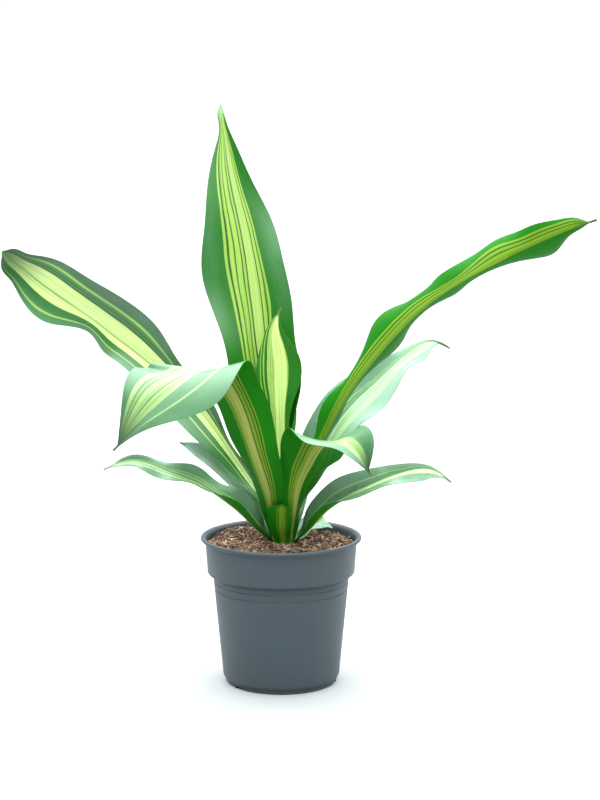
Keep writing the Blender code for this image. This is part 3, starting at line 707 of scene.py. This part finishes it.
def pot_profile(bead, groove_depth):
    """The outside from the middle of the underside up over the rim, then the inside down to the floor."""
    foot = [(0.0, 0.0), (BOSS_RADIUS, 0.0), (BOSS_RADIUS + 0.6, FOOT_HEIGHT),
            (FOOT_RADIUS - 3.2, FOOT_HEIGHT), (FOOT_RADIUS - 2.6, 0.0), (FOOT_RADIUS - 0.6, 0.0)]
    foot += arc((FOOT_RADIUS - 0.8, 0.9), 0.9, -70.0, 0.0, 3)
    foot += [(FOOT_RADIUS + 0.7, FOOT_HEIGHT), (FOOT_RADIUS + 0.35, FOOT_HEIGHT + 0.35),
             (FOOT_RADIUS + 1.0, FOOT_HEIGHT + 0.7)]
    foot += arc((WALL_FOOT_RADIUS - 5.0, WALL_FOOT + 0.6), 5.0, -38.0, -2.0, 5)
    grooves = []
    for below in reversed(GROOVES_BELOW_RIM):
        for reach, depth in ((-1.6, 0.0), (-0.9, 0.0), (0.0, groove_depth), (0.9, 0.0), (1.6, 0.0)):
            height = POT_HEIGHT - below + reach
            grooves.append((wall_radius(height) - depth, height))
    ledge = COLLAR_RADIUS - 4.6
    collar = [(WALL_TOP_RADIUS - 0.1, WALL_TOP - 1.0), (WALL_TOP_RADIUS - 0.3, WALL_TOP),
              (WALL_TOP_RADIUS + 0.6, WALL_TOP + 0.5), (ledge, COLLAR_FOOT - 1.9)]
    collar += arc((ledge, COLLAR_FOOT + 0.6), 2.4, -78.0, -6.0, 5)
    collar += [(COLLAR_RADIUS, POT_HEIGHT - bead - 1.2), (COLLAR_RADIUS + 0.1, POT_HEIGHT - bead - 0.2)]
    half = 0.5 * bead
    rim = arc((RIM_RADIUS - half + 0.1, POT_HEIGHT - half), half - 0.1, -120.0, 100.0, 14)
    rim += [(RIM_RADIUS - bead - 0.4, POT_HEIGHT - 1.2),
            (COLLAR_RADIUS - WALL_THICKNESS, POT_HEIGHT - bead)]
    inside = inside_wall(WALL_THICKNESS, FOOT_HEIGHT + FLOOR_THICKNESS, 0.4)[::-1]
    return foot + grooves + collar + rim + inside


def foot_cutter():
    """Boxes for the notches in the foot and bars for the drain holes."""
    bm = bmesh.new()
    for number in range(NOTCH_COUNT):
        angle = math.radians(FIRST_NOTCH_ANGLE + 360.0 * number / NOTCH_COUNT)
        made = bmesh.ops.create_cube(bm, size=1.0)["verts"]
        bmesh.ops.scale(bm, vec=(NOTCH_LENGTH * MM, NOTCH_WIDTH * MM, 2.0 * NOTCH_HEIGHT * MM), verts=made)
        bmesh.ops.translate(bm, vec=((FOOT_RADIUS - 2.0) * MM, 0.0, 0.0), verts=made)
        bmesh.ops.rotate(bm, cent=(0.0, 0.0, 0.0), matrix=Matrix.Rotation(angle, 3, "Z"), verts=made)
    for number in range(DRAIN_COUNT):
        angle = 2.0 * math.pi * number / DRAIN_COUNT
        made = bmesh.ops.create_cone(bm, cap_ends=True, segments=32, radius1=DRAIN_RADIUS * MM,
                                     radius2=DRAIN_RADIUS * MM, depth=4.0 * FLOOR_THICKNESS * MM)["verts"]
        bmesh.ops.translate(bm, verts=made, vec=(
            DRAIN_RING_RADIUS * math.cos(angle) * MM, DRAIN_RING_RADIUS * math.sin(angle) * MM,
            (FOOT_HEIGHT + 0.5 * FLOOR_THICKNESS) * MM))
    return bm


def cut(piece, cutter_bm):
    """Subtract the cutter from the piece's mesh."""
    cutter_mesh = bpy.data.meshes.new("cutter")
    cutter_bm.to_mesh(cutter_mesh)
    cutter_bm.free()
    cutter = bpy.data.objects.new("cutter", cutter_mesh)
    bpy.context.scene.collection.objects.link(cutter)
    modifier = piece.modifiers.new("cuts", "BOOLEAN")
    modifier.operation = "DIFFERENCE"
    modifier.solver = "EXACT"
    modifier.object = cutter
    bpy.context.view_layer.update()
    graph = bpy.context.evaluated_depsgraph_get()
    finished = bpy.data.meshes.new_from_object(piece.evaluated_get(graph))
    piece.modifiers.clear()
    piece.data = finished
    bpy.data.objects.remove(cutter, do_unlink=True)
    if len(finished.polygons) == 0:
        raise RuntimeError("the cuts in the pot left nothing")


def soil_height(x, y):
    """The heaped surface of the potting mix: higher round the stem and at the left back."""
    reach = math.hypot(x, y) / RIM_RADIUS
    height = SOIL_EDGE_HEIGHT + SOIL_CROWN * max(0.0, 1.0 - reach * reach)
    height += HEAP_HEIGHT * math.exp(-((x - HEAP_X) ** 2 + (y - HEAP_Y) ** 2) / (2.0 * HEAP_REACH ** 2))
    height += 0.7 * math.sin(0.17 * x + 1.0) * math.cos(0.19 * y)
    return height


def collar_inside(height):
    """The inside radius of the collar at a height near the soil's surface."""
    share = (height - COLLAR_FOOT) / (POT_HEIGHT - COLLAR_FOOT)
    return COLLAR_RADIUS - WALL_THICKNESS - COLLAR_TAPER * (1.0 - share)


def tube(bm, points, radii, sides):
    """A thin strand: a grid rolled into a tube round the points."""
    points = np.asarray(points, float)
    ahead = np.gradient(points, axis=0)
    ahead /= np.linalg.norm(ahead, axis=1)[:, None]
    rows = len(points) - 1
    made = bmesh.ops.create_grid(bm, x_segments=sides, y_segments=rows, size=1.0)["verts"]
    for vert in made:
        row = round((vert.co.y + 1.0) / 2.0 * rows)
        angle = math.pi * (vert.co.x + 1.0)
        side = np.cross(ahead[row], (0.31, 0.17, 0.93))
        side /= np.linalg.norm(side)
        other = np.cross(ahead[row], side)
        ring = math.cos(angle) * side + math.sin(angle) * other
        vert.co = (points[row] + radii[row] * ring) * MM
    return made


def spline(knots, values, places):
    """The natural cubic spline through the values at the knots, read at the places."""
    knots = np.asarray(knots, float)
    values = np.asarray(values, float)
    places = np.asarray(places, float)
    gaps = np.diff(knots)
    slopes = np.diff(values, axis=0) / gaps.reshape(-1, *([1] * (values.ndim - 1)))
    system = np.eye(len(knots))
    target = np.zeros_like(values)
    for k in range(1, len(knots) - 1):
        system[k, k - 1:k + 2] = gaps[k - 1], 2.0 * (gaps[k - 1] + gaps[k]), gaps[k]
        target[k] = 6.0 * (slopes[k] - slopes[k - 1])
    bend = np.linalg.solve(system, target)
    span = np.clip(np.searchsorted(knots, places) - 1, 0, len(gaps) - 1)
    shape = (-1,) + (1,) * (values.ndim - 1)
    gap = gaps[span].reshape(shape)
    before = (places - knots[span]).reshape(shape)
    after = gap - before
    return (
        (bend[span] * after ** 3 + bend[span + 1] * before ** 3) / (6.0 * gap)
        + (values[span] / gap - bend[span] * gap / 6.0) * after
        + (values[span + 1] / gap - bend[span + 1] * gap / 6.0) * before
    )


def along(values, shares, places=None):
    """A quantity given at even steps from base to tip, or at places, read at the shares of the length."""
    return spline(np.linspace(0.0, 1.0, len(values)) if places is None else places, values, shares)


def base_point(leaf, rise=0.0):
    """Where the leaf's midrib starts: on its layer's circle, as high as the stem is that thick."""
    radius = LAYER_RADII[leaf["layer"]]
    height = np.interp(
        -(radius - 2.0 * GAP), (-STEM_NODE_RADIUS, -STEM_TIP_RADIUS), (STEM_NODE_HEIGHT, STEM_TIP_HEIGHT)
    )
    angle = math.radians(leaf["side"])
    reach = radius + 0.1 * rise
    return np.array((STEM_X + reach * math.cos(angle), STEM_Y + reach * math.sin(angle), height + rise))


def midrib(leaf):
    """The midrib: distance from the base, points, and the directions along, across and up."""
    knots_at = np.array([base_point(leaf), base_point(leaf, 7.0), *leaf["path"]], float)
    knots = np.concatenate(((0.0,), np.cumsum(np.linalg.norm(np.diff(knots_at, axis=0), axis=1))))
    fine = np.linspace(0.0, knots[-1], MIDRIB_STEPS + 1)
    walked = np.linalg.norm(np.diff(spline(knots, knots_at, fine), axis=0), axis=1)
    walked = np.concatenate(((0.0,), np.cumsum(walked)))
    distance = np.linspace(0.0, walked[-1], MIDRIB_STEPS + 1)
    points = spline(knots, knots_at, np.interp(distance, walked, fine))
    ahead = np.gradient(points, axis=0)
    ahead /= np.linalg.norm(ahead, axis=1)[:, None]
    angle = math.radians(leaf["side"])
    upward = np.array((-math.cos(angle), -math.sin(angle), 0.0))
    up = np.zeros_like(points)
    for row, direction in enumerate(ahead):
        upward = upward - (upward @ direction) * direction
        upward /= np.linalg.norm(upward)
        up[row] = upward
    across = np.cross(ahead, up)
    turn = np.radians(along(leaf["turn"], distance / distance[-1]))[:, None]
    turned_across = across * np.cos(turn) - up * np.sin(turn)
    turned_up = up * np.cos(turn) + across * np.sin(turn)
    return distance, points, ahead, turned_across, turned_up


def read_at(distance, vectors, places):
    """Vectors known along the midrib, read at a grid of distances from the base."""
    return np.stack([np.interp(places, distance, vectors[:, axis]) for axis in range(3)], axis=-1)


def blade_surfaces(leaf, rows, columns):
    """The leaf's upper and lower faces as grids of points in millimetres, rows from base to tip."""
    distance, points, ahead, across, up = midrib(leaf)
    shares = np.linspace(0.0, 1.0, rows + 1)[:, None]
    side = np.linspace(-1.0, 1.0, columns + 1)[None, :]
    away = np.abs(side)
    own = shares * distance[-1]
    outline = np.minimum(own / (distance[-1] - leaf.get("hair", HAIR_LENGTH)), 1.0)[:, 0]
    left_widths = along(leaf["left"], outline, leaf.get("width_at"))[:, None]
    right_widths = along(leaf["right"], outline, leaf.get("width_at"))[:, None]
    widths = np.maximum(np.where(side < 0.0, left_widths, right_widths), TIP_HALF_WIDTH)
    wrap = np.clip(1.0 - own / WRAP_LENGTH, 0.0, 1.0)
    wrap = wrap * wrap * (3.0 - 2.0 * wrap)
    fold = np.radians(along(leaf["fold"], shares[:, 0]))[:, None] * (1.0 - wrap)
    hug = widths / LAYER_RADII[leaf["layer"]]
    curl = np.radians(along(leaf["curl"], shares[:, 0]))[:, None] * (1.0 - wrap) + hug * wrap
    curl = np.where(np.abs(curl) < 1e-3, 1e-3, curl)
    bent = fold + curl * away
    lateral = widths * (np.sin(bent) - np.sin(fold)) / curl
    height = widths * (np.cos(fold) - np.cos(bent)) / curl
    size, count, left_shift, right_shift = leaf["wave"]
    shift = np.where(side < 0.0, left_shift, right_shift)
    swell = size * np.sin(math.pi * shares) ** 0.7 * away ** 2
    ripple = swell * np.sin(2.0 * math.pi * (count * shares + shift))
    lateral = (lateral - ripple * np.sin(bent)) * np.sign(side)
    height = height + ripple * np.cos(bent)
    slant = np.tan(np.radians(along(leaf.get("slant", (0, 0)), shares[:, 0])))[:, None]
    place = np.clip(own - slant * lateral, 0.0, distance[-1])
    upper = read_at(distance, points, place) + (own - place)[..., None] * read_at(distance, ahead, place)
    upper += lateral[..., None] * read_at(distance, across, place)
    upper += height[..., None] * read_at(distance, up, place)
    normal = np.cross(np.gradient(upper, axis=1), np.gradient(upper, axis=0))
    normal /= np.linalg.norm(normal, axis=2)[..., None]
    rib = np.exp(-((side * widths) / RIB_HALF_WIDTH) ** 2) * (1.0 - shares)
    thickness = MARGIN_THICKNESS + (RIB_THICKNESS - MARGIN_THICKNESS) * rib
    thickness += (BASE_THICKNESS - RIB_THICKNESS) * np.exp(-own / WRAP_LENGTH) * rib
    return upper, upper - normal * thickness[..., None]


def blade_body(leaf, rows, columns):
    """One closed blade: a grid, extruded once and shaped into the two faces, with a UV map along it."""
    upper, lower = blade_surfaces(leaf, rows, columns)
    bm = bmesh.new()
    bmesh.ops.create_grid(bm, x_segments=columns, y_segments=rows, size=1.0)
    first = list(bm.verts)
    grown = bmesh.ops.extrude_face_region(bm, geom=bm.faces[:], use_keep_orig=True)["geom"]
    second = [item for item in grown if isinstance(item, bmesh.types.BMVert)]
    upper_faces = [item for item in grown if isinstance(item, bmesh.types.BMFace)]
    bm.verts.index_update()
    places = {}
    for verts, surface in ((first, lower), (second, upper)):
        for vert in verts:
            row = round((vert.co.y + 1.0) / 2.0 * rows)
            column = round((vert.co.x + 1.0) / 2.0 * columns)
            places[vert.index] = (column / columns, row / rows)
            vert.co = surface[row, column] * MM
    layer = bm.loops.layers.uv.new("blade")
    for face in bm.faces:
        face.material_index = 1
        for loop in face.loops:
            loop[layer].uv = places[loop.vert.index]
    for face in upper_faces:
        face.material_index = 0
    return bm


# Operators

class DRACAENA_OT_pot(bpy.types.Operator):
    """Turn the nursery pot with its rolled rim, collar, grooves, foot notches and drain holes"""
    bl_idname = "dracaena.pot"
    bl_label = "Pot"

    def execute(self, context):
        settings = context.scene.dracaena_pot
        look = plastic_material("pot plastic", tuple(settings.colour))
        profile = pot_profile(settings.rim_bead / MM, settings.groove_depth / MM)
        piece = add_piece("nursery_pot", turned(profile, settings.sides), [look])
        cut(piece, foot_cutter())
        piece.data.shade_smooth()
        piece.data.set_sharp_from_angle(angle=math.radians(POT_SHARP_ANGLE))
        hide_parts("pot")
        return {"FINISHED"}


class DRACAENA_OT_soil(bpy.types.Operator):
    """Heap the potting mix and strew it with bark chips and coir fibres"""
    bl_idname = "dracaena.soil"
    bl_label = "Potting mix"

    def execute(self, context):
        settings = context.scene.dracaena_soil
        look = bark_material("potting mix", tuple(settings.dark), tuple(settings.light))
        self.bed(look)
        self.chips(settings, look)
        self.fibres(settings, look)
        return {"FINISHED"}

    def bed(self, look):
        """A turned body that fills the pot, with its top moved off the axis to the stem and roughened."""
        inset = WALL_THICKNESS + 2.0 * GAP
        edge = COLLAR_RADIUS - inset - 1.0
        profile = inside_wall(inset, FOOT_HEIGHT + FLOOR_THICKNESS + GAP, 0.8)
        profile += [(float(r), SOIL_EDGE_HEIGHT) for r in np.linspace(edge, SOIL_HOLE_RADIUS, SOIL_RINGS)]
        profile += [(SOIL_HOLE_RADIUS, SOIL_HOLE_FLOOR), (STEM_NODE_RADIUS + GAP, SOIL_HOLE_FLOOR),
                    (STEM_FOOT_RADIUS + GAP, STEM_FOOT - GAP), (0.0, STEM_FOOT - GAP)]
        bm = turned(profile, SOIL_SIDES)
        rng = np.random.default_rng(11)
        tone = bm.verts.layers.float.new("tone")
        for vert in bm.verts:
            radius = math.hypot(vert.co.x, vert.co.y) / MM
            on_top = abs(vert.co.z / MM - SOIL_EDGE_HEIGHT) < 0.01
            in_hole = radius < SOIL_HOLE_RADIUS + 0.01
            share = (edge - radius) / (edge - SOIL_HOLE_RADIUS)
            shift = 1.0 if in_hole else max(0.0, share) if on_top else 0.0
            vert.co.x += shift * STEM_X * MM
            vert.co.y += shift * STEM_Y * MM
            vert[tone] = float(rng.uniform(0.0, 0.25))
            if on_top:
                pit = 0.0 if radius > edge - 1.0 else float(rng.uniform(-DEEPEST_PIT, 0.0))
                vert.co.z = (soil_height(vert.co.x / MM, vert.co.y / MM) + pit) * MM
        piece = add_piece("soil_bed", bm, [look])
        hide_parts("soil")

    def chips(self, settings, look):
        """Boxes with jittered corners, most of them small, strewn over the bed and kept off the collar."""
        rng = np.random.default_rng(23)
        bm = bmesh.new()
        tone = bm.verts.layers.float.new("tone")
        nearest, furthest = CHIP_REACH
        longest = settings.chip_length / MM
        for _ in range(settings.chips):
            reach = math.sqrt(rng.uniform(nearest ** 2, furthest ** 2))
            angle = rng.uniform(0.0, 2.0 * math.pi)
            x = STEM_X * (1.0 - reach / furthest) + reach * math.cos(angle)
            y = STEM_Y * (1.0 - reach / furthest) + reach * math.sin(angle)
            length = longest * rng.uniform(0.22, 1.0) ** 1.6
            wide = min(length, rng.uniform(*CHIP_WIDTH))
            thick = rng.uniform(*CHIP_THICKNESS)
            tilt = rng.normal(0.0, CHIP_TILT)
            turn = Matrix.Rotation(rng.uniform(0.0, 2.0 * math.pi), 4, "Z")
            turn = turn @ Matrix.Rotation(tilt, 4, "Y")
            turn = turn @ Matrix.Rotation(rng.normal(0.0, CHIP_ROLL), 4, "X")
            size = Matrix.Diagonal((length * MM, wide * MM, thick * MM, 1.0))
            height = soil_height(x, y) + rng.uniform(*CHIP_LIFT)
            place = Matrix.Translation((x * MM, y * MM, height * MM))
            made = bmesh.ops.create_cube(bm, size=1.0, matrix=place @ turn @ size)["verts"]
            shade = float(np.clip(rng.normal(0.42, 0.24), 0.0, 1.0))
            limit = (collar_inside(height) - 0.8) * MM
            for vert in made:
                vert[tone] = shade
                jitter = rng.uniform(-CHIP_JITTER, CHIP_JITTER, 3) * np.array((wide, wide, thick)) * MM
                vert.co += Vector(jitter)
                out = math.hypot(vert.co.x, vert.co.y)
                if out > limit:
                    vert.co.x *= limit / out
                    vert.co.y *= limit / out
        piece = add_piece("bark_chips", bm, [look], merge=False)
        piece.data.shade_flat()

    def fibres(self, settings, look):
        """Thin strands that follow the heaped surface in gentle arches and bends."""
        rng = np.random.default_rng(37)
        bm = bmesh.new()
        tone = bm.verts.layers.float.new("tone")
        nearest, furthest = FIBRE_REACH
        edge = CHIP_REACH[1]
        for _ in range(settings.fibres):
            reach = math.sqrt(rng.uniform(nearest ** 2, furthest ** 2))
            angle = rng.uniform(0.0, 2.0 * math.pi)
            x, y = reach * math.cos(angle), reach * math.sin(angle)
            heading = rng.uniform(0.0, 2.0 * math.pi)
            length = rng.uniform(*FIBRE_LENGTH)
            bend = rng.normal(0.0, 0.05)
            stride = length / (FIBRE_POINTS - 1)
            points = []
            for step in np.linspace(0.0, length, FIBRE_POINTS):
                height = soil_height(x, y) + 1.0 + FIBRE_ARCH * math.sin(math.pi * step / length)
                points.append((x, y, height))
                heading += bend * length / FIBRE_POINTS
                x += stride * math.cos(heading)
                y += stride * math.sin(heading)
                out = math.hypot(x, y)
                if out > edge:
                    x, y = x * edge / out, y * edge / out
            thick = rng.uniform(*FIBRE_RADIUS)
            radii = thick * np.sin(np.linspace(0.15, math.pi - 0.15, FIBRE_POINTS)) ** 0.4
            shade = float(rng.uniform(0.55, 1.0))
            for vert in tube(bm, points, radii, 4):
                vert[tone] = shade
        piece = add_piece("coir_fibres", bm, [look])


class DRACAENA_OT_stem(bpy.types.Operator):
    """Give the cane between the leaf bases its ringed green bark"""
    bl_idname = "dracaena.stem"
    bl_label = "Stem"

    def execute(self, context):
        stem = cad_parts["stem"]
        if len(stem.material_slots) == 0:
            raise RuntimeError("the stem has no material slot")
        look = cane_material("green cane")
        for slot in stem.material_slots:
            slot.material = look
        return {"FINISHED"}


class DRACAENA_OT_leaves(bpy.types.Operator):
    """Shape every blade with its folds, waves and stripes"""
    bl_idname = "dracaena.leaves"
    bl_label = "Leaves"

    def execute(self, context):
        settings = context.scene.dracaena_leaves
        names = ("margin", "dark", "mid", "light", "pale", "bright", "gold")
        upper_tones = {name: tuple(getattr(settings, name)) for name in names}
        under_tones = dict(upper_tones, margin=tuple(settings.under), light=tuple(settings.under_light),
                           pale=tuple(settings.under_pale))
        for number, (name, leaf) in enumerate(LEAVES.items()):
            marks = MARKINGS[name]
            length = midrib(leaf)[0][-1]
            rows = max(40, round(length * MM / settings.row_length))
            hair_share = leaf.get("hair", HAIR_LENGTH) / length
            looks = [
                blade_material(f"{name} {face}", marks[face], marks, tones, 1.7 * number, face == "under",
                               hair_share)
                for face, tones in (("upper", upper_tones), ("under", under_tones))
            ]
            body = blade_body(leaf, rows, settings.columns)
            piece = add_piece(name.replace("leaf", "blade"), body, looks, merge=False)
            piece.data.set_sharp_from_angle(angle=math.radians(BLADE_SHARP_ANGLE))
            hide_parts(name)
        return {"FINISHED"}


class DRACAENA_OT_stage(bpy.types.Operator):
    """Lay the pale floor, hang the soft lights and set up the camera"""
    bl_idname = "dracaena.stage"
    bl_label = "Stage"

    def execute(self, context):
        scene = context.scene
        settings = scene.dracaena_stage
        self.floor(scene, tuple(settings.floor))
        self.softbox(scene, settings.softbox_power)
        self.world(scene, settings.dome_strength)
        self.camera(scene, settings)
        scene.view_settings.view_transform = "Standard"
        scene.view_settings.look = "None"
        return {"FINISHED"}

    def floor(self, scene, colour):
        made, tree, shader = new_material("floor")
        feed(tree, shader, {"Base Color": colour, "Roughness": 0.8})
        bm = bmesh.new()
        bmesh.ops.create_grid(bm, x_segments=1, y_segments=1, size=FLOOR_HALF_SIZE)
        mesh = bpy.data.meshes.new("floor")
        bm.to_mesh(mesh)
        bm.free()
        mesh.materials.append(made)
        floor = bpy.data.objects.new("floor", mesh)
        scene.collection.objects.link(floor)

    def softbox(self, scene, power):
        data = bpy.data.lights.new("top softbox", "AREA")
        data.shape = "SQUARE"
        data.size = SOFTBOX_SIZE
        data.energy = power
        data.color = SOFTBOX_COLOUR
        light = bpy.data.objects.new("top softbox", data)
        light.location = SOFTBOX_PLACE
        aim = Vector(SOFTBOX_AIM) - Vector(SOFTBOX_PLACE)
        light.rotation_euler = aim.to_track_quat("-Z", "Y").to_euler()
        scene.collection.objects.link(light)

    def world(self, scene, dome_strength):
        """A sky that is bright overhead and behind the plant, and dim behind the viewer."""
        world = bpy.data.worlds.new("studio")
        world.use_nodes = True
        scene.world = world
        tree = world.node_tree
        direction = add_node(tree, "TexCoord", "Generated", {})
        up = add_node(tree, "SeparateXYZ", "Z", {0: direction})
        back = add_node(tree, "SeparateXYZ", "Y", {0: direction})
        dome = remap(tree, up, *DOME_EDGES, 0.0, 1.0, smooth=True)
        backdrop = remap(tree, back, *BACKDROP_EDGES, *BACKDROP_STRENGTHS, smooth=True)
        feed(tree, tree.nodes["Background"], {
            "Strength": math_node(tree, "ADD", backdrop, math_node(tree, "MULTIPLY", dome, dome_strength)),
            "Color": mix_colour(tree, dome, (1.0, 1.0, 1.0), DOME_COLOUR),
        })

    def camera(self, scene, settings):
        data = bpy.data.cameras.new("camera")
        data.lens = LENS
        data.sensor_width = SENSOR_WIDTH
        camera = bpy.data.objects.new("camera", data)
        camera.location = (settings.camera_right, -settings.camera_distance, settings.camera_height)
        camera.rotation_euler = (math.radians(90.0) - settings.camera_pitch, 0.0, 0.0)
        scene.collection.objects.link(camera)
        scene.camera = camera


class DRACAENA_PT_panel(bpy.types.Panel):
    """Lists the pieces of the plant"""
    bl_idname = "DRACAENA_PT_panel"
    bl_label = "Potted dracaena"
    bl_space_type = "VIEW_3D"
    bl_region_type = "UI"
    bl_category = "Dracaena"

    def draw(self, context):
        for group, step in zip(
            ("dracaena_pot", "dracaena_soil", "dracaena_leaves", "dracaena_stage"),
            ("dracaena.pot", "dracaena.soil", "dracaena.leaves", "dracaena.stage"),
        ):
            settings = getattr(context.scene, group)
            box = self.layout.box()
            for name in settings.__annotations__:
                box.prop(settings, name)
            box.operator(step)
        self.layout.operator("dracaena.stem")


SETTINGS = {
    "dracaena_pot": PotSettings,
    "dracaena_soil": SoilSettings,
    "dracaena_leaves": LeafSettings,
    "dracaena_stage": StageSettings,
}
CLASSES = (
    *SETTINGS.values(), DRACAENA_OT_pot, DRACAENA_OT_soil, DRACAENA_OT_stem, DRACAENA_OT_leaves,
    DRACAENA_OT_stage, DRACAENA_PT_panel,
)


def register():
    for cls in CLASSES:
        bpy.utils.register_class(cls)
    for name, settings in SETTINGS.items():
        setattr(bpy.types.Scene, name, bpy.props.PointerProperty(type=settings))


def unregister():
    for name in SETTINGS:
        delattr(bpy.types.Scene, name)
    for cls in reversed(CLASSES):
        bpy.utils.unregister_class(cls)


def main():
    register()
    bpy.ops.dracaena.pot()
    bpy.ops.dracaena.soil()
    bpy.ops.dracaena.stem()
    bpy.ops.dracaena.leaves()
    bpy.ops.dracaena.stage()


if __name__ == "__main__":
    main()
